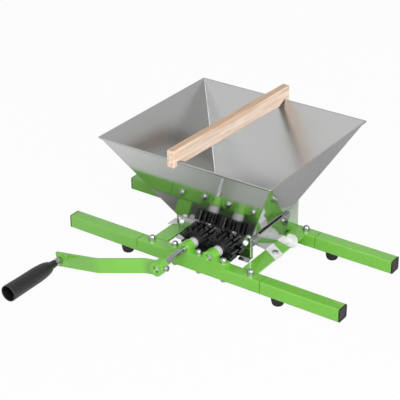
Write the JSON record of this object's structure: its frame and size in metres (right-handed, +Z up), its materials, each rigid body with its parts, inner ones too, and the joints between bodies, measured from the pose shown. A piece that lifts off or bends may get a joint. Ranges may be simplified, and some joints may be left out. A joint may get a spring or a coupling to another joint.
{
  "type": "hand cranked fruit scratter",
  "caption": "Hand-cranked fruit crusher: a steel hopper over geared toothed rollers, on a tube frame with pull-out arms that lies across a tub.",
  "frame": {"origin": "on the ground plane, under the middle of the whole machine with its crank", "axes": "+X along the beams to the right, +Y from the crank's side to the back, +Z up"},
  "size_m": [0.5732, 0.5322, 0.271],
  "materials": {
    "green_enamel": "gloss powder coat, yellow green",
    "stainless_sheet": "bright rolled stainless sheet, near mirror",
    "zinc_fastener": "bright zinc plate",
    "bright_steel": "ground and polished steel",
    "natural_nylon": "moulded nylon, natural",
    "black_nylon": "moulded nylon, satin",
    "black_plastic": "moulded plastic, fine grain",
    "black_rubber": "moulded rubber, matt",
    "beech": "planed, unfinished"
  },
  "bodies": {
    "frame": {"front_centre_tube": "green_enamel", "front_left_arm": "green_enamel", "front_left_end_cap": "black_plastic", "front_left_foot": "black_rubber", "front_right_arm": "green_enamel", "front_right_end_cap": "black_plastic", "front_right_foot": "black_rubber", "back_centre_tube": "green_enamel", "back_left_arm": "green_enamel", "back_left_end_cap": "black_plastic", "back_left_foot": "black_rubber", "back_right_arm": "green_enamel", "back_right_end_cap": "black_plastic", "back_right_foot": "black_rubber", "left_cross_plate": "green_enamel", "right_cross_plate": "green_enamel", "front_bearing_block": "green_enamel", "back_bearing_block": "green_enamel", "front_left_bearing_bolt": "zinc_fastener", "front_middle_bearing_bolt": "zinc_fastener", "front_right_bearing_bolt": "zinc_fastener", "front_left_frame_bolt": "zinc_fastener", "front_right_frame_bolt": "zinc_fastener", "back_left_bearing_bolt": "zinc_fastener", "back_middle_bearing_bolt": "zinc_fastener", "back_right_bearing_bolt": "zinc_fastener", "back_left_frame_bolt": "zinc_fastener", "back_right_frame_bolt": "zinc_fastener", "hopper": "stainless_sheet", "neck_front_plate": "stainless_sheet", "neck_back_plate": "stainless_sheet", "front_left_collar_bolt": "zinc_fastener", "front_right_collar_bolt": "zinc_fastener", "back_left_collar_bolt": "zinc_fastener", "back_right_collar_bolt": "zinc_fastener", "left_deflector": "stainless_sheet", "right_deflector": "stainless_sheet", "left_side_bracket": "stainless_sheet", "left_bracket_bolt": "zinc_fastener", "right_side_bracket": "stainless_sheet", "right_bracket_bolt": "zinc_fastener", "rear_stay": "stainless_sheet"},
    "drive_train": {"drive_shaft": "bright_steel", "drive_gear": "black_nylon", "drive_roller": "black_nylon", "drive_front_spacer": "natural_nylon", "drive_back_spacer": "natural_nylon", "crank_arm": "green_enamel", "crank_clamp_screw": "zinc_fastener", "grip_axle": "zinc_fastener", "grip_nut": "zinc_fastener"},
    "driven_train": {"driven_shaft": "bright_steel", "driven_gear": "black_nylon", "driven_roller": "black_nylon", "driven_front_spacer": "natural_nylon", "driven_back_spacer": "natural_nylon"},
    "crank_grip": {"grip": "black_plastic"},
    "loose_bar": {"wooden_bar": "beech"}
  },
  "joints": [
    {"name": "drive_spin", "type": "hinge", "parent": "frame", "child": "drive_train", "pos_m": [-0.026, 0, 0.0528], "axis": [0, 1, 0], "continuous": true},
    {"name": "driven_spin", "type": "hinge", "parent": "frame", "child": "driven_train", "pos_m": [0.026, 0, 0.0528], "axis": [0, 1, 0], "continuous": true},
    {"name": "grip_spin", "type": "hinge", "parent": "drive_train", "child": "crank_grip", "pos_m": [-0.22278, 0, 0.01704], "axis": [0, 1, 0], "continuous": true},
    {"name": "bar_lift", "type": "slide", "parent": "frame", "child": "loose_bar", "axis": [0, 0, 1], "range_m": [0, 0.08]}
  ],
  "couplings": [
    {"joint": "driven_spin", "follows": "drive_spin", "ratio": -1}
  ]
}
